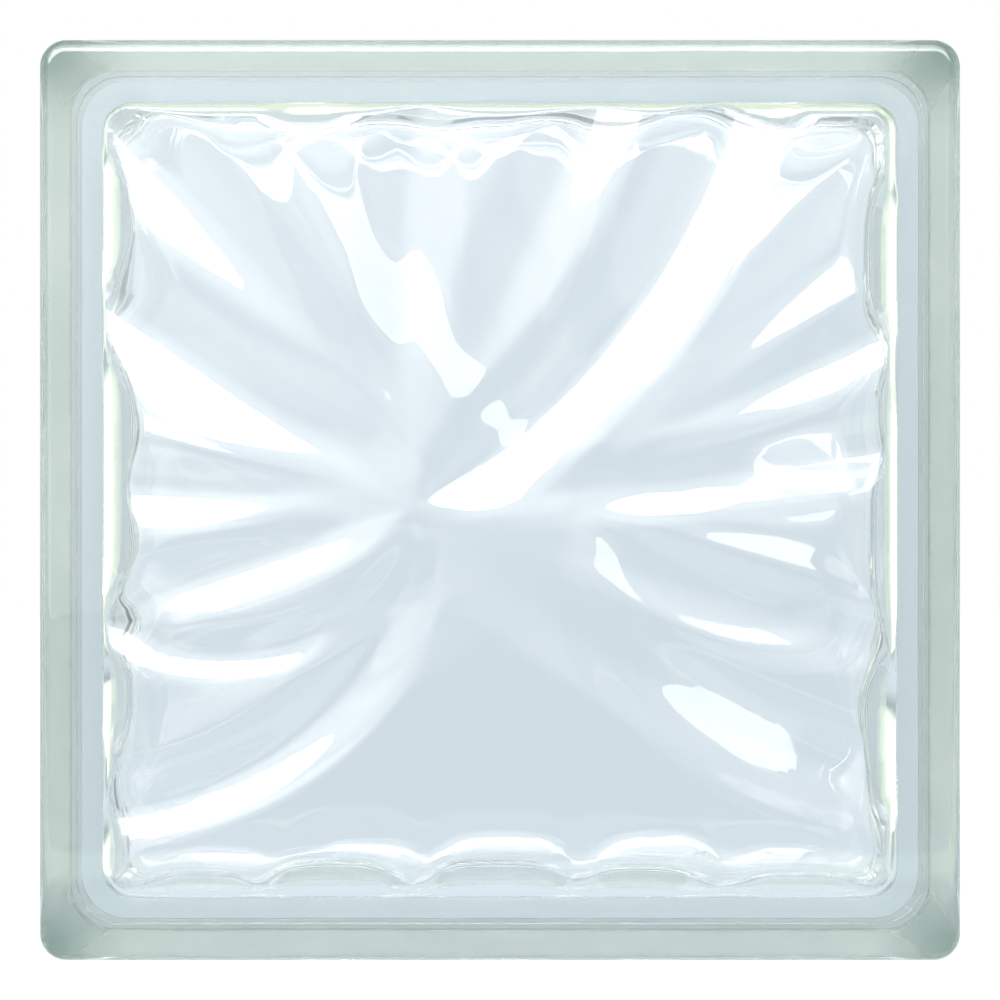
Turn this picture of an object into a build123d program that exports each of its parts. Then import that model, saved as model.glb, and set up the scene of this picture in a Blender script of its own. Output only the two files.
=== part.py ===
"""Hollow pressed-glass building block with a wavy pattern inside both faces.

Two like half shells are pressed, turned face to face and melted together along a
seam at mid-depth, so the finished block is one piece of glass round a sealed space.
Each half has a smooth outer face with a rounded rim, a flat land that stands next
to the mortar joint, a shoulder down into the mortar channel, and a web that ends
at the seam.  The pattern is on the inside: long waves that fan out from a calm
place beside the middle, so the glass of each face is thick and thin in turn.

Frame: X is the width, Y the depth with the front face at -Y, Z is up.  The origin
is at the middle of the underside, on the surface that the block stands on.
"""

import math
import os

from build123d import *

# Overall sizes, in millimetres
block_width = 190.0
block_height = 190.0
block_depth = 80.0

# Rim of each face and the land behind it
corner_radius = 5.5  # the four corners, seen from the front
rim_round = 2.5  # edge of the face
land_width = 13.0  # along the depth, from the face to the shoulder
crest_round = 1.5  # edge between land and shoulder

# Mortar channel round all four sides
channel_depth = 5.5
channel_corner_radius = 9.5
shoulder_width = 6.0  # along the depth, from the land to the channel floor
root_round = 2.0  # hollow between shoulder and channel floor

# Melted seam between the two halves, a bead on the channel floor and one inside
bead_width = 4.0  # across the seam
outer_bead_height = 0.9
inner_bead_height = 0.6

# Sealed space inside
web_thickness = 5.5  # side wall at the seam
face_thickness = 7.0  # between the waves
cavity_draft = 3.0  # degrees, so that the plunger leaves the pressing
cavity_corner_radius = 7.5  # at the seam
cove_radius = 4.0  # between side wall and wavy face
cove_sink = 0.25  # of the cove's foot into the face, below the feet of the waves

# Waves inside each face, seen from the front
wave_height = 2.3  # of the tallest
wave_half_width = 16.0  # of the tallest, from its crest to its foot
wave_centre_across = -18.0  # where they start, from the middle of the face
wave_centre_up = -1.0
calm_radius = 16.0  # of the place that they start from
wave_spacing = 3.0  # between the points that the wavy face is drawn through
wave_margin = 3.0  # how far the wavy face is drawn past the cavity
flank_share = 0.8  # how straight the flanks are, from a soft swell at 0 to a sharp roof at 1

# Direction of each wave and its bend on the way to a corner, in degrees, anticlockwise from the
# right, then its height and half width as shares of the tallest wave's, and how far out it has
# half its height, as a share of the calm radius
wave_shares = (
    (30, 24, 1.0, 1.0, 0.8),
    (66, 0, 0.6, 0.85, 3.0),
    (96, -10, 0.8, 0.75, 2.5),
    (120, 10, 0.7, 0.9, 3.0),
    (146, 0, 0.9, 1.1, 1.2),
    (176, 0, 0.6, 0.7, 1.2),
    (199, 0, 0.6, 0.65, 1.0),
    (262, -105, 0.5, 0.6, 1.6),
    (270, -60, 0.65, 0.75, 1.0),
    (320, 10, 0.5, 0.8, 3.0),
    (344, 0, 0.35, 0.65, 3.0),
    (364, 4, 0.55, 0.65, 2.6),
    (374, 8, 0.5, 0.65, 4.0),
)

# Sizes that follow from those above
half_depth = block_depth / 2
flange_start = half_depth - land_width
shoulder_start = flange_start - shoulder_width
channel_width = block_width - 2 * channel_depth
channel_height = block_height - 2 * channel_depth
cavity_width = channel_width - 2 * web_thickness
cavity_height = channel_height - 2 * web_thickness
cavity_reach = half_depth - face_thickness  # from the seam to the face between the waves

# The seam lies in this plane, and its normal points at the front face
seam_plane = Plane(origin=(0, 0, block_height / 2), x_dir=(1, 0, 0), z_dir=(0, -1, 0))


def wave_profile(aside):
    """Height share across a wave, from its foot at -1 over its crest to its foot at 1."""
    swing = math.cos(math.pi * min(max(aside, -1), 1))
    return (1 + math.asin(flank_share * swing) / math.asin(flank_share)) / 2


def wave_offset(across, up):
    """How far the wavy face stands proud, towards the seam."""
    radius = math.hypot(across - wave_centre_across, up - wave_centre_up)
    angle = math.atan2(up - wave_centre_up, across - wave_centre_across)
    spread = math.hypot(radius, calm_radius)
    corner_reach = math.hypot(cavity_width, cavity_height) / 2
    height_share = 0
    for direction, bend, own_height_share, own_width_share, start_share in wave_shares:
        turned = angle - math.radians(direction + bend * radius / corner_reach)
        ahead_share = max(math.cos(turned), 0) ** 2
        risen_share = radius**2 / (radius**2 + (start_share * calm_radius) ** 2)
        aside = math.sin(turned) * spread / (own_width_share * wave_half_width)
        height_share += own_height_share * ahead_share * risen_share * wave_profile(aside)
    return wave_height * height_share


def even_steps(reach):
    """Even places from -reach to reach, about a wave spacing apart."""
    steps = 2 * math.ceil(reach / wave_spacing)
    return [reach * (2 * step / steps - 1) for step in range(steps + 1)]


def wave_row(up):
    """Curve across the wavy face at one height, a little longer than the cavity is wide."""
    row = even_steps(cavity_width / 2 + wave_margin)
    places = [Vector(across, up, cavity_reach - wave_offset(across, up)) for across in row]
    points = [seam_plane.from_local_coords(place) for place in places]
    even_shares = [index / (len(row) - 1) for index in range(len(row))]
    return Wire([Edge.make_spline(points, parameters=even_shares)])


def rings(shell):
    """Edges that run round a half shell in one plane, in groups from its face to the seam."""
    return shell.edges().filter_by(Plane.XZ).group_by(Axis.Y)


def bar_radius(height):
    """Radius of a round bar that shows as a bead of that height, one bead width wide."""
    return (bead_width**2 / 4 + height**2) / (2 * height)


def seam_path(margin, corner):
    """Closed path along the seam, a margin outside the cavity wall."""
    half_width = cavity_width / 2 + margin
    half_height = cavity_height / 2 + margin
    with BuildLine(seam_plane) as path:
        FilletPolyline(
            (-half_width, -half_height),
            (half_width, -half_height),
            (half_width, half_height),
            (-half_width, half_height),
            radius=corner,
            close=True,
        )
    return path.line


# Wavy face, drawn through one curve after another
wavy_face = Shell.make_loft([wave_row(up) for up in even_steps(cavity_height / 2 + wave_margin)]).face()

# Hollow of one half: a drafted pocket from the seam with a cove round its end, closed by the wavy face
with BuildPart() as pocket:
    with BuildSketch(seam_plane):
        RectangleRounded(cavity_width, cavity_height, cavity_corner_radius)
    extrude(amount=cavity_reach + cove_sink, taper=cavity_draft)
    fillet(pocket.faces().sort_by(Axis.Y)[0].edges(), cove_radius)
    split(bisect_by=wavy_face, keep=Keep.BOTTOM)

# One half shell, from the seam to the front face
with BuildPart() as half_shell:
    with BuildSketch(seam_plane):
        RectangleRounded(channel_width, channel_height, channel_corner_radius)
    extrude(amount=shoulder_start)
    with BuildSketch(seam_plane.offset(shoulder_start)):
        RectangleRounded(channel_width, channel_height, channel_corner_radius)
    with BuildSketch(seam_plane.offset(flange_start)):
        RectangleRounded(block_width, block_height, corner_radius)
    loft()
    with BuildSketch(seam_plane.offset(flange_start)):
        RectangleRounded(block_width, block_height, corner_radius)
    extrude(amount=land_width)
    fillet(rings(half_shell)[-2], root_round)
    fillet(rings(half_shell)[1], crest_round)
    fillet(rings(half_shell)[0], rim_round)
    add(pocket.part, mode=Mode.SUBTRACT)

# Each bead is a round bar along the seam, sunk in the web until only its crown shows
outer_bar = bar_radius(outer_bead_height)
inner_bar = bar_radius(inner_bead_height)
outer_sink = outer_bar - outer_bead_height
inner_sink = inner_bar - inner_bead_height
bead_bars = (
    (outer_bar, seam_path(web_thickness - outer_sink, channel_corner_radius - outer_sink)),
    (inner_bar, seam_path(inner_sink, cavity_corner_radius + inner_sink)),
)

# The second half is the same pressing, turned to face the other way
with BuildPart() as glass_block:
    add(half_shell.part)
    add(half_shell.part.rotate(Axis.Z, 180))
    for bar, path in bead_bars:
        with BuildSketch(Plane(origin=path @ 0, z_dir=path % 0)):
            Circle(bar)
        sweep(path=path)

glass_block.part.label = "glass_block"
os.makedirs("parts", exist_ok=True)
export_step(glass_block.part, "parts/glass_block.step")
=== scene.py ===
"""Dresses the hollow glass block: one piece of pressed glass, with a plain studio round it."""

import math

import bpy
import numpy as np
from bpy.props import FloatProperty, FloatVectorProperty, PointerProperty
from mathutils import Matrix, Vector


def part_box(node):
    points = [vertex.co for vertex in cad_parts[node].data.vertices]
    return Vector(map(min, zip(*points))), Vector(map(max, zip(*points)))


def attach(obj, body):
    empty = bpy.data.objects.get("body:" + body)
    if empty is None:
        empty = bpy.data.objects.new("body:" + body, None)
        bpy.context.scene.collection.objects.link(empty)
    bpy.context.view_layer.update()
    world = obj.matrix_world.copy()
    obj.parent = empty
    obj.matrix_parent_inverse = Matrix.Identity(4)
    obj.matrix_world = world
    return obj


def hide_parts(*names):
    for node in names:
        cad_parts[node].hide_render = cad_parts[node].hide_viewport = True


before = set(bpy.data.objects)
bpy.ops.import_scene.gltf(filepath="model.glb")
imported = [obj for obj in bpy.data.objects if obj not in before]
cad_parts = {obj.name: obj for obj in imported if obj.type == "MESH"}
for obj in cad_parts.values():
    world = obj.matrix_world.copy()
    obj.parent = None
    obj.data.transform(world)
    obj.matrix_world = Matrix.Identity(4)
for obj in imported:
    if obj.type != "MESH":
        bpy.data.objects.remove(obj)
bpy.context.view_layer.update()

bl_info = {
    "name": "Glass block",
    "version": (1, 0, 0),
    "blender": (4, 5, 0),
    "location": "View3D > Sidebar > Glass block",
    "description": "Builds a hollow wavy glass block round its CAD frame, with a plain studio",
    "category": "Object",
}

CAD_NODE = "glass_block"
BODY = "root"

# Mesh steps: along a side, round a corner, over a small round, over a cove, across half a wavy face
SIDE_STEPS = 60
CORNER_STEPS = 14
ROUND_STEPS = 8
COVE_STEPS = 24
WAVY_ROWS = 80

# Steps along a side of the floor
FLOOR_STEPS = 4

# The middle rows of a flat outer face lie in from its edge by its width divided by these
FACE_ROW_PARTS = (2, 3)

# The last row of a flat outer face lies in from its edge by this many rim rounds
FACE_EDGE_ROUNDS = 3

# Distance of the close points beside an arc, as a share of its radius
GUARD_SHARE = 0.05

# Points nearer than this are one point, in metres
MERGE_DISTANCE = 1e-7

# Waves of one face: direction and bend in degrees, then height, half width and start as shares
WAVES = (
    (30, 24, 1.0, 1.0, 0.8),
    (66, 0, 0.6, 0.85, 3.0),
    (96, -10, 0.8, 0.75, 2.5),
    (120, 10, 0.7, 0.9, 3.0),
    (146, 0, 0.9, 1.1, 1.2),
    (176, 0, 0.6, 0.7, 1.2),
    (199, 0, 0.6, 0.65, 1.0),
    (262, -105, 0.5, 0.6, 1.6),
    (270, -60, 0.65, 0.75, 1.0),
    (320, 10, 0.5, 0.8, 3.0),
    (344, 0, 0.35, 0.65, 3.0),
    (364, 4, 0.55, 0.65, 2.6),
    (374, 8, 0.5, 0.65, 4.0),
)

# How straight the flanks of a wave are, from a soft swell at 0 to a sharp roof at 1
FLANK_SHARE = 0.8

# Scallops, where the cove along a wall is wide: direction of the wall in degrees, then the middle
# along it, anticlockwise from the middle of the wall, half its length and its reach, in metres
SCALLOPS = (
    (0, 0.049, 0.019, 0.008),
    (0, -0.003, 0.033, 0.006),
    (0, -0.050, 0.018, 0.010),
    (90, -0.055, 0.010, 0.008),
    (90, 0.040, 0.010, 0.006),
    (180, -0.058, 0.018, 0.0085),
    (180, -0.005, 0.031, 0.009),
    (180, 0.041, 0.011, 0.007),
    (180, 0.070, 0.010, 0.006),
    (270, -0.062, 0.012, 0.0065),
    (270, -0.0345, 0.015, 0.010),
    (270, -0.0005, 0.0165, 0.010),
    (270, 0.029, 0.014, 0.008),
    (270, 0.062, 0.014, 0.006),
)

# How blunt the ends of a scallop are, and the least reach that it is worked out with, in metres
SCALLOP_POWER = 4
LEAST_REACH = 1e-6

# Soft boxes: direction and distance from the block's middle, width and height in metres, brightness
SOFT_BOXES = {
    "left_box": ((-0.26, -0.84, 0.45), 0.7, 0.54, 0.30, 9.0),
    "right_box": ((0.25, -0.90, 0.36), 1.5, 0.56, 0.50, 7.0),
    "top_box": ((-0.10, -0.78, 0.62), 0.62, 0.80, 0.36, 3.0),
}

# Axes of the depth and the height, and the middle of the broad light above the camera
DEPTH = (0, 1, 0)
HEIGHT = (0, 0, 1)
GLOW = (-0.25, -0.75, 0.61)

# How much a direction points along one of these where a light starts, and where it is full
WALL_RAMP = (0.55, 0.85)
SIDE_RAMP = (0.55, 0.25)
TOP_RAMP = (0.2, 0.8)
GLOW_RAMP = (0.70, 0.95)

# Plain white, as a socket takes it
WHITE = (1, 1, 1, 1)

# How often light is followed through the glass, and how often from mirror to mirror
GLASS_BOUNCES = 12
MIRROR_BOUNCES = 8

low, high = (Vector(corner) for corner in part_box(CAD_NODE))
block_width, block_depth, block_height = high - low
block_middle = (low + high) / 2


def length(default, name, description):
    """A length in metres that shows in the sidebar."""
    return FloatProperty(
        name=name, description=description, default=default, precision=5, unit="LENGTH", subtype="DISTANCE"
    )


def share(default, name, description):
    """A plain number that shows in the sidebar."""
    return FloatProperty(name=name, description=description, default=default, min=0)


def color(default, name, description):
    """A colour that shows in the sidebar."""
    return FloatVectorProperty(
        name=name, description=description, default=default, size=3, subtype="COLOR", min=0, max=1
    )


class GlassBlockShape(bpy.types.PropertyGroup):
    """Sizes of the pressed glass."""

    corner_radius: length(0.0055, "Corner radius", "Corners of the face, seen from the front")
    rim_round: length(0.0025, "Rim round", "Edge between the face and the land")
    land_width: length(0.013, "Land width", "From the face to the shoulder")
    crest_round: length(0.0015, "Crest round", "Edge between land and shoulder")
    channel_depth: length(0.0055, "Channel depth", "Mortar channel below the land")
    channel_corner_radius: length(0.0095, "Channel corner radius", "Corners of the channel floor")
    shoulder_width: length(0.006, "Shoulder width", "From the land to the channel floor")
    root_round: length(0.002, "Root round", "Hollow between shoulder and channel floor")
    bead_width: length(0.004, "Bead width", "Melted seam, across")
    outer_bead_height: length(0.0009, "Outer bead height", "Seam on the channel floor")
    inner_bead_height: length(0.0006, "Inner bead height", "Seam inside the hollow")
    web_thickness: length(0.0055, "Web thickness", "Side wall at the seam")
    face_thickness: length(0.007, "Face thickness", "Between the waves")
    cavity_draft: FloatProperty(
        name="Cavity draft",
        description="Lean of the hollow's walls",
        default=math.radians(3),
        subtype="ANGLE",
    )
    cavity_corner_radius: length(0.0075, "Cavity corner radius", "Corners of the hollow at the seam")
    cove_radius: length(0.004, "Cove radius", "Between side wall and wavy face")
    cove_sink: length(0.00025, "Cove sink", "Of the cove's foot, below the feet of the waves")
    wave_height: length(0.0023, "Wave height", "Of the tallest wave")
    wave_half_width: length(0.016, "Wave half width", "Of the tallest wave, from its crest to its foot")
    wave_centre_across: length(-0.018, "Wave centre across", "Where the waves start, seen from the front")
    wave_centre_up: length(-0.001, "Wave centre up", "Where the waves start, from the block's middle")
    calm_radius: length(0.016, "Calm radius", "Of the place that the waves start from")


class GlassBlockFinish(bpy.types.PropertyGroup):
    """Glass, the matt finish of its mortar channel, and painted shade that darkens the channel's corners.
    """

    surface_tint: color((0.95, 0.95, 0.95), "Surface tint", "Light that a sheet of it keeps")
    body_tint: color((0.60, 0.68, 0.64), "Body tint", "Colour that deep glass takes on")
    body_density: share(10.0, "Body density", "Strength of the body tint")
    refraction: share(1.52, "Refraction", "Index of soda-lime glass")
    ripple_height: length(0.00004, "Ripple height", "Faint unevenness of the pressed surface")
    ripple_spacing: length(0.014, "Ripple spacing", "From ripple to ripple")
    key_tint: color((0.95, 1.0, 0.92), "Key tint", "Light that the matt mortar channel keeps")
    key_roughness: share(0.8, "Key roughness", "Matt shoulders of the mortar channel")
    floor_roughness: share(0.4, "Floor roughness", "Satin floor of the mortar channel")
    # Painted shade: the channel's corners are darkened and turned green, fading in between the two
    # distances below
    corner_shade_tint: color((0.16, 0.27, 0.20), "Corner tint", "Light that the channel's corners keep")
    corner_shade_start: length(0.074, "Corner start", "Where the corner tint starts, from the block's middle")
    corner_shade_end: length(0.094, "Corner end", "Where the corner tint is full, from the block's middle")


class GlassBlockStage(bpy.types.PropertyGroup):
    """Camera, floor and light."""

    camera_distance: length(1.0, "Camera distance", "From the front face to the lens")
    frame_width: length(0.206, "Frame width", "Width of the picture at the front face")
    sensor_width: share(36.0, "Sensor width", "Of the camera, in millimetres")
    floor_size: length(6.0, "Floor size", "Side of the square floor")
    floor_tint: color((0.9, 0.9, 0.9), "Floor tint", "Floor as the light finds it")
    floor_white: share(1.03, "Floor white", "Brightness of the floor as the camera sees it")
    shadow_share: share(0.12, "Shadow share", "Part of the floor's brightness that a shadow takes away")
    apron: length(0.3, "Apron", "Bright floor in front of the block")
    wall_tint: color((0.82, 0.92, 1.0), "Wall tint", "Studio walls, seen through the glass")
    side_tint: color((0.88, 1.0, 0.80), "Side tint", "Studio walls beside the block")
    glow_tint: color((1.0, 0.98, 1.0), "Glow tint", "Broad light above the camera")
    back_level: share(0.99, "Back level", "Studio wall behind the block")
    front_level: share(0.45, "Front level", "Studio behind the camera")
    gap_level: share(0.6, "Gap level", "Dimmer gaps between the studio walls")
    side_level: share(1.7, "Side level", "Studio walls beside the block")
    top_level: share(1.0, "Top level", "Studio above the block")
    glow_level: share(4.5, "Glow level", "Broad light above the camera")


class Signal:
    """An output socket that Python's operators can calculate with."""

    def __init__(self, bench, socket):
        self.bench = bench
        self.socket = socket

    def math(self, operation, first, second):
        return self.bench.add("ShaderNodeMath", {"operation": operation}, {0: first, 1: second})

    def __add__(self, other):
        return self.math("ADD", self, other)

    __radd__ = __add__

    def __sub__(self, other):
        return self.math("SUBTRACT", self, other)

    def __rsub__(self, other):
        return self.math("SUBTRACT", other, self)

    def __mul__(self, other):
        return self.math("MULTIPLY", self, other)

    __rmul__ = __mul__

    def __abs__(self):
        return self.math("ABSOLUTE", self, 0)

    def either(self, other):
        return self.math("MAXIMUM", self, other)

    def above(self, other):
        return self.math("GREATER_THAN", self, other)


class Bench:
    """Adds nodes to one material or world."""

    def __init__(self, owner):
        owner.use_nodes = True
        self.tree = owner.node_tree
        self.tree.nodes.clear()

    def add(self, kind, settings=None, sockets=None, output=0):
        """Any node, with its settings set first, then its sockets. Gives the chosen output."""
        node = self.tree.nodes.new(kind)
        for name, value in (settings or {}).items():
            setattr(node, name, value)
        for key, value in (sockets or {}).items():
            if isinstance(value, Signal):
                self.tree.links.new(value.socket, node.inputs[key])
            else:
                node.inputs[key].default_value = value
        return Signal(self, node.outputs[output]) if node.outputs else None

    def vector(self, operation, first, second, output=0):
        """Vector maths on two vectors."""
        return self.add("ShaderNodeVectorMath", {"operation": operation}, {0: first, 1: second}, output)

    def toward(self, direction, axis):
        """How much a direction points along an axis."""
        return self.vector("DOT_PRODUCT", direction, axis, "Value")

    def ramp(self, value, start, end):
        """From 0 at the start to 1 at the end, level at both."""
        sockets = {"Value": value, "From Min": start, "From Max": end}
        return self.add("ShaderNodeMapRange", {"interpolation_type": "SMOOTHSTEP"}, sockets)

    def blend(self, factor, first, second):
        """From the first colour to the second."""
        sockets = {"Factor": factor}
        for key, value in (("A", first), ("B", second)):
            sockets[key] = value if isinstance(value, Signal) else (*value, 1)
        return self.add("ShaderNodeMix", {"data_type": "RGBA"}, sockets, "Result")

    def noise(self, spacing):
        """Soft cloudy noise that stays with the object."""
        place = self.add("ShaderNodeTexCoord", output="Object")
        return self.add("ShaderNodeTexNoise", sockets={"Vector": place, "Scale": 1 / spacing, "Detail": 0})

    def ray(self, kind):
        """Whether the ray that finds the surface is of a kind."""
        return self.add("ShaderNodeLightPath", output=kind)


def deselect_all():
    bpy.ops.object.select_all(action="DESELECT")


def wave_profile(aside):
    """Height share across a wave, from its foot at -1 over its crest to its foot at 1."""
    swing = np.cos(math.pi * np.clip(aside, -1, 1))
    return (1 + np.arcsin(FLANK_SHARE * swing) / math.asin(FLANK_SHARE)) / 2


def wave_offset(shape, across, up):
    """How far the waves of the front face stand proud, towards the seam."""
    wall = shape.channel_depth + shape.web_thickness
    beside = across - shape.wave_centre_across
    above = up - shape.wave_centre_up
    radius = np.hypot(beside, above)
    spread = np.hypot(radius, shape.calm_radius)
    corner_reach = math.hypot(block_width / 2 - wall, block_height / 2 - wall)
    offset = np.zeros_like(radius)
    for direction, bend, height_share, width_share, start_share in WAVES:
        turned = np.arctan2(above, beside) - np.radians(direction + bend * radius / corner_reach)
        ahead = np.maximum(np.cos(turned), 0) ** 2
        rise = radius**2 / (radius**2 + (start_share * shape.calm_radius) ** 2)
        aside = np.sin(turned) * spread / (width_share * shape.wave_half_width)
        offset += shape.wave_height * height_share * ahead * rise * wave_profile(aside)
    return offset


def scallop_offset(shape, across, up):
    """How far the scallops along the walls stand proud of the front face, towards the seam."""
    lean = (block_depth / 2 - shape.face_thickness) * math.tan(shape.cavity_draft)
    foot = block_width / 2 - shape.channel_depth - shape.web_thickness - lean
    offset = np.zeros_like(across)
    for direction, middle, half_length, most_reach in SCALLOPS:
        turn = math.radians(direction)
        from_wall = np.maximum(foot - across * math.cos(turn) - up * math.sin(turn), 0)
        along = up * math.cos(turn) - across * math.sin(turn)
        fading = ((along - middle) / half_length) ** SCALLOP_POWER
        reach = most_reach * np.maximum(1 - fading, 0)
        risen = np.maximum(reach - from_wall, 0) ** 2 / (2 * np.maximum(reach, LEAST_REACH))
        offset = np.maximum(offset, risen)
    return offset


def wavy_depth(shape, across, up):
    """Depth of the hollow in front of the seam, over places of the wavy face."""
    offset = np.maximum(wave_offset(shape, across, up), scallop_offset(shape, across, up))
    return block_depth / 2 - shape.face_thickness - offset


def outline(inset, radius):
    """Points round the block's outline, a little inside it, as many for every size."""
    half_width = block_width / 2 - inset - radius
    half_height = block_height / 2 - inset - radius
    turns = np.linspace(0, math.pi / 2, CORNER_STEPS + 1)
    sides = np.linspace(0, 1, SIDE_STEPS, endpoint=False)[1:, None]
    arcs = []
    for quarter, (x, z) in enumerate(((1, 1), (-1, 1), (-1, -1), (1, -1))):
        angle = turns + quarter * math.pi / 2
        across = x * half_width + radius * np.cos(angle)
        up = z * half_height + radius * np.sin(angle)
        arcs.append(np.column_stack((across, up)))
    loop = []
    for arc, after in zip(arcs, arcs[1:] + arcs[:1]):
        loop += [arc, arc[-1] + (after[0] - arc[-1]) * sides]
    return np.concatenate(loop)


def rounded(points, rounds, steps):
    """A line of points with arcs for its inner corners, and a close point on each side of an arc."""
    points = [np.array(point, float) for point in points]
    line = [points[0]]
    for before, corner, after, radius in zip(points, points[1:], points[2:], rounds):
        to_before = (before - corner) / np.linalg.norm(before - corner)
        to_after = (after - corner) / np.linalg.norm(after - corner)
        half_angle = math.acos(to_before @ to_after) / 2
        middle = (to_before + to_after) / np.linalg.norm(to_before + to_after)
        centre = corner + middle * radius / math.sin(half_angle)
        tangent = radius / math.tan(half_angle)
        first = corner + to_before * tangent - centre
        last = corner + to_after * tangent - centre
        turn = math.pi - 2 * half_angle
        guard = GUARD_SHARE * radius
        line.append(corner + to_before * (tangent + guard))
        for step in np.linspace(0, 1, steps + 1):
            spoke = math.sin((1 - step) * turn) * first + math.sin(step * turn) * last
            line.append(centre + spoke / math.sin(turn))
        line.append(corner + to_after * (tangent + guard))
    return line + [points[-1]]


def bead(width, height, floor, outward):
    """Half of a bead's round crown, from its foot to its top, as points of inset and depth."""
    radius = (width**2 / 4 + height**2) / (2 * height)
    crown = []
    for angle in np.linspace(math.asin(width / 2 / radius), 0, ROUND_STEPS):
        proud = height - radius + radius * math.cos(angle)
        crown.append(np.array((floor - outward * proud, -radius * math.sin(angle))))
    return crown


def both_halves(front):
    """Rows of the front half, then the same of the back half from the seam on."""
    return front + [(inset, radius, -depth) for inset, radius, depth in front[-2::-1]]


def outer_rows(shape):
    """Inset, corner radius and depth of each row of the outside, from face to face."""
    half_depth = block_depth / 2
    flange = half_depth - shape.land_width
    profile = rounded(
        (
            (FACE_EDGE_ROUNDS * shape.rim_round, -half_depth),
            (0, -half_depth),
            (0, -flange),
            (shape.channel_depth, shape.shoulder_width - flange),
            (shape.channel_depth, -shape.bead_width),
        ),
        (shape.rim_round, shape.crest_round, shape.root_round),
        ROUND_STEPS,
    )
    profile += bead(shape.bead_width, shape.outer_bead_height, shape.channel_depth, 1)
    widening = (shape.channel_corner_radius - shape.corner_radius) / shape.channel_depth
    rows = [(block_width / part, 0, -half_depth) for part in FACE_ROW_PARTS]
    for inset, depth in profile:
        if depth < -flange - shape.crest_round:
            radius = max(shape.corner_radius - inset, 0)
        else:
            radius = shape.corner_radius + widening * inset
        rows.append((inset, radius, depth))
    return both_halves(rows)


def inner_rows(shape):
    """Inset, corner radius and depth of each row of the hollow, from face to face."""
    wall = shape.channel_depth + shape.web_thickness
    reach = block_depth / 2 - shape.face_thickness + shape.cove_sink
    lean = math.tan(shape.cavity_draft)
    cove = wall + reach * lean + shape.cove_radius
    profile = rounded(
        (
            (cove + shape.cove_sink, -reach),
            (wall + reach * lean, -reach),
            (wall + shape.bead_width * lean, -shape.bead_width),
        ),
        (shape.cove_radius,),
        COVE_STEPS,
    )
    profile += bead(shape.bead_width, shape.inner_bead_height, wall, -1)
    edge = profile[0][0]
    edge_radius = max(shape.cavity_corner_radius - edge + wall, 0)
    rows = [
        (edge + (block_width / 2 - edge) * (1 - row / WAVY_ROWS), edge_radius * row / WAVY_ROWS, -reach)
        for row in range(WAVY_ROWS)
    ]
    for inset, depth in profile:
        rows.append((inset, max(shape.cavity_corner_radius - inset + wall, edge_radius), depth))
    return both_halves(rows)


def wrap_grid(name, rows, deepest=None):
    """Wraps a flat grid round the block, one row of it for each row given, and closes its seam and ends.

    A hollow gives its deepest reach over places of the front face, and the back face turns them round."""
    columns = len(outline(0, 0))
    deselect_all()
    bpy.ops.mesh.primitive_grid_add(x_subdivisions=columns, y_subdivisions=len(rows) - 1, size=1)
    piece = bpy.context.object
    piece.name = piece.data.name = name
    flat = np.empty(len(piece.data.vertices) * 3)
    piece.data.vertices.foreach_get("co", flat)
    flat = flat.reshape(-1, 3) + 0.5
    column = np.rint(flat[:, 0] * columns).astype(int) % columns
    row = np.rint(flat[:, 1] * (len(rows) - 1)).astype(int)
    places = np.empty((len(rows), columns, 3))
    for number, (inset, radius, depth) in enumerate(rows):
        places[number, :, ::2] = outline(inset, radius)
        places[number, :, 1] = depth
        if deepest:
            side = np.sign(depth)
            limit = deepest(-side * places[number, :, 0], places[number, :, 2])
            places[number, :, 1] = side * np.minimum(abs(depth), limit)
    piece.data.vertices.foreach_set("co", (places[row, column] + np.array(block_middle)).ravel())
    bpy.ops.object.mode_set(mode="EDIT")
    bpy.ops.mesh.select_all(action="SELECT")
    bpy.ops.mesh.remove_doubles(threshold=MERGE_DISTANCE)
    bpy.ops.mesh.normals_make_consistent(inside=deepest is not None)
    bpy.ops.object.mode_set(mode="OBJECT")
    return piece


def glass_material(shape, finish):
    """Clear pressed glass, faintly rippled, with a blue-green body, a matt mortar channel and painted
    shade that darkens the channel's corners to green.
    """
    material = bpy.data.materials.new("pressed_glass")
    bench = Bench(material)
    place = bench.add("ShaderNodeTexCoord", output="Object")
    from_middle = bench.vector("SUBTRACT", place, block_middle)
    parts = (bench.add("ShaderNodeSeparateXYZ", sockets={0: from_middle}, output=axis) for axis in "XYZ")
    across, along, up = (abs(part) for part in parts)
    flange = block_depth / 2 - shape.land_width
    outside = across.either(up).above(block_width / 2 - shape.channel_depth - shape.web_thickness / 2)
    channel = outside * (1 - along.above(flange - shape.crest_round / 2))
    shoulder = channel * along.above(flange - shape.shoulder_width - shape.root_round)
    # Painted shade: a mask over the channel's corners, full where both across and up pass the corner end
    corner_shade_span = (finish.corner_shade_start, finish.corner_shade_end)
    corner = bench.ramp(across, *corner_shade_span) * bench.ramp(up, *corner_shade_span)
    key = bench.blend(channel, finish.surface_tint, finish.key_tint)
    # The channel's corners get painted shade, darker and greener than the rest of the matt channel
    tint = bench.blend(channel * corner, key, finish.corner_shade_tint)
    satin = (channel - shoulder) * finish.floor_roughness
    height = bench.noise(finish.ripple_spacing)
    ripple = bench.add(
        "ShaderNodeBump", sockets={"Height": height, "Distance": finish.ripple_height, "Strength": 1.0}
    )
    surface = bench.add(
        "ShaderNodeBsdfPrincipled",
        sockets={
            "Base Color": tint,
            "Roughness": shoulder * finish.key_roughness + satin,
            "IOR": finish.refraction,
            "Transmission Weight": 1.0,
            "Normal": ripple,
        },
    )
    body = bench.add(
        "ShaderNodeVolumeAbsorption",
        sockets={"Color": (*finish.body_tint, 1), "Density": finish.body_density},
    )
    bench.add("ShaderNodeOutputMaterial", sockets={"Surface": surface, "Volume": body})
    return material


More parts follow.
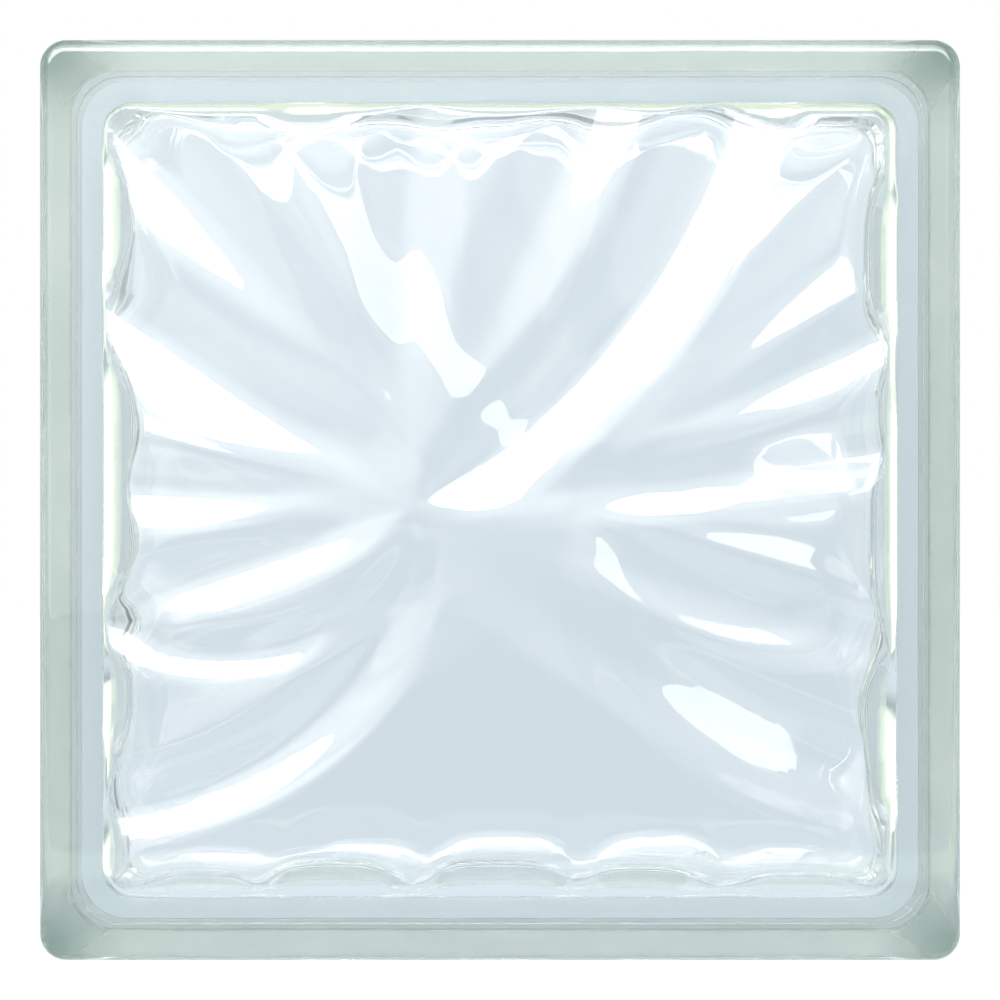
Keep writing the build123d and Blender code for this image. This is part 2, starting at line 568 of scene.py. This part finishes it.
class GLASSBLOCK_OT_press(bpy.types.Operator):
    """Press the glass block: a smooth outside with a matt mortar channel, and a wavy hollow inside."""

    bl_idname = "glassblock.press"
    bl_label = "Press glass block"

    def execute(self, context):
        shape = context.scene.glass_block_shape
        finish = context.scene.glass_block_finish
        hollow = wrap_grid("hollow", inner_rows(shape), lambda across, up: wavy_depth(shape, across, up))
        piece = wrap_grid("pressed_glass", outer_rows(shape))
        glass = glass_material(shape, finish)
        for shell in (hollow, piece):
            shell.data.materials.append(glass)
            shell.select_set(True)
        bpy.ops.object.join()
        bpy.ops.object.shade_smooth()
        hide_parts(CAD_NODE)
        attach(piece, BODY)
        return {"FINISHED"}


class GLASSBLOCK_OT_set_stage(bpy.types.Operator):
    """Set up the floor, the studio light and the camera."""

    bl_idname = "glassblock.set_stage"
    bl_label = "Set stage"

    def execute(self, context):
        scene = context.scene
        stage = scene.glass_block_stage
        scene.view_settings.view_transform = "Standard"
        scene.cycles.max_bounces = GLASS_BOUNCES
        scene.cycles.transmission_bounces = GLASS_BOUNCES
        scene.cycles.glossy_bounces = MIRROR_BOUNCES
        self.lay_floor(stage)
        self.light_walls(scene, stage)
        self.hang_boxes()
        self.place_camera(scene, stage)
        return {"FINISHED"}

    def studio(self, bench, kind, direction, stage):
        """Studio light from a direction: walls behind, in front of and beside the block, and gaps."""
        unit = bench.add("ShaderNodeVectorMath", {"operation": "NORMALIZE"}, {0: direction})
        along = bench.toward(unit, DEPTH)
        back = (stage.back_level - stage.gap_level) * bench.ramp(along, *WALL_RAMP)
        front_ramp = (-limit for limit in WALL_RAMP)
        front = (stage.front_level - stage.gap_level) * bench.ramp(along, *front_ramp)
        beside = bench.ramp(abs(along), *SIDE_RAMP)
        level = stage.gap_level + back + front - stage.gap_level * beside
        wall = bench.add(kind, sockets={"Color": (*stage.wall_tint, 1), "Strength": level})
        above = bench.ramp(bench.toward(unit, HEIGHT), *TOP_RAMP)
        side_level = stage.side_level + (stage.top_level - stage.side_level) * above
        side = bench.add(kind, sockets={"Color": (*stage.side_tint, 1), "Strength": side_level * beside})
        return bench.add("ShaderNodeAddShader", sockets={0: wall, 1: side})

    def lay_floor(self, stage):
        """White floor that keeps the block's shadow, and looks like the walls through the glass."""
        deselect_all()
        bpy.ops.mesh.primitive_grid_add(
            x_subdivisions=FLOOR_STEPS, y_subdivisions=FLOOR_STEPS, size=stage.floor_size
        )
        floor = bpy.context.object
        floor.name = "floor"
        material = bpy.data.materials.new("pale_floor")
        bench = Bench(material)
        seen = bench.ray("Is Camera Ray")
        through_glass = bench.ray("Is Transmission Ray").either(bench.ray("Is Glossy Ray"))
        place = bench.add("ShaderNodeTexCoord", output="Object")
        behind = bench.vector("ADD", place, (0, stage.apron, 0))
        pale = self.studio(bench, "ShaderNodeEmission", behind, stage)
        matt = bench.add("ShaderNodeBsdfDiffuse", sockets={"Color": (*stage.floor_tint, 1)})
        white = bench.add("ShaderNodeEmission", sockets={"Color": WHITE, "Strength": stage.floor_white})
        lit = bench.add("ShaderNodeMixShader", sockets={0: through_glass, 1: matt, 2: pale})
        bright = (1 - stage.shadow_share) * seen
        shown = bench.add("ShaderNodeMixShader", sockets={0: bright, 1: lit, 2: white})
        bench.add("ShaderNodeOutputMaterial", sockets={"Surface": shown})
        floor.data.materials.append(material)

    def light_walls(self, scene, stage):
        """Soft studio walls and a broad light above the camera, pure white where the camera sees them."""
        scene.world = bpy.data.worlds.new("studio")
        bench = Bench(scene.world)
        seen = bench.ray("Is Camera Ray")
        direction = bench.add("ShaderNodeTexCoord", output="Generated")
        level = stage.glow_level * bench.ramp(bench.toward(direction, GLOW), *GLOW_RAMP)
        tint = (*stage.glow_tint, 1)
        glow = bench.add("ShaderNodeBackground", sockets={"Color": tint, "Strength": level})
        walls = self.studio(bench, "ShaderNodeBackground", direction, stage)
        lit = bench.add("ShaderNodeAddShader", sockets={0: walls, 1: glow})
        white = bench.add("ShaderNodeBackground", sockets={"Color": WHITE, "Strength": 1.0})
        shown = bench.add("ShaderNodeMixShader", sockets={0: seen, 1: lit, 2: white})
        bench.add("ShaderNodeOutputWorld", sockets={"Surface": shown})

    def hang_boxes(self):
        """Soft boxes that face the block and show only in it."""
        for name, (direction, distance, width, height, level) in SOFT_BOXES.items():
            away = Vector(direction).normalized()
            deselect_all()
            bpy.ops.object.light_add(type="AREA", location=block_middle + distance * away)
            lamp = bpy.context.object
            lamp.name = name
            lamp.data.shape = "RECTANGLE"
            lamp.data.size = width
            lamp.data.size_y = height
            lamp.data.energy = level * math.pi * width * height
            lamp.rotation_euler = (-away).to_track_quat("-Z", "Y").to_euler()
            lamp.visible_camera = False

    def place_camera(self, scene, stage):
        """Straight on, level with the block's middle."""
        deselect_all()
        place = (block_middle.x, low.y - stage.camera_distance, block_middle.z)
        bpy.ops.object.camera_add(location=place, rotation=(math.pi / 2, 0, 0))
        scene.camera = bpy.context.object
        scene.camera.data.sensor_width = stage.sensor_width
        scene.camera.data.lens = stage.sensor_width * stage.camera_distance / stage.frame_width


class GLASSBLOCK_PT_sidebar(bpy.types.Panel):
    """Steps and settings of the glass block."""

    bl_idname = "GLASSBLOCK_PT_sidebar"
    bl_label = "Glass block"
    bl_space_type = "VIEW_3D"
    bl_region_type = "UI"
    bl_category = "Glass block"

    def draw(self, context):
        for operator in OPERATORS:
            self.layout.operator(operator.bl_idname)
        for scene_name, group in GROUPS.items():
            box = self.layout.box()
            for setting in group.__annotations__:
                box.prop(getattr(context.scene, scene_name), setting)


GROUPS = {
    "glass_block_shape": GlassBlockShape,
    "glass_block_finish": GlassBlockFinish,
    "glass_block_stage": GlassBlockStage,
}
OPERATORS = (GLASSBLOCK_OT_press, GLASSBLOCK_OT_set_stage)
CLASSES = (*GROUPS.values(), *OPERATORS, GLASSBLOCK_PT_sidebar)


def register():
    for cls in CLASSES:
        bpy.utils.register_class(cls)
    for scene_name, group in GROUPS.items():
        setattr(bpy.types.Scene, scene_name, PointerProperty(type=group))


def unregister():
    for scene_name in GROUPS:
        delattr(bpy.types.Scene, scene_name)
    for cls in reversed(CLASSES):
        bpy.utils.unregister_class(cls)


def main():
    register()
    bpy.ops.glassblock.press()
    bpy.ops.glassblock.set_stage()


if __name__ == "__main__":
    main()
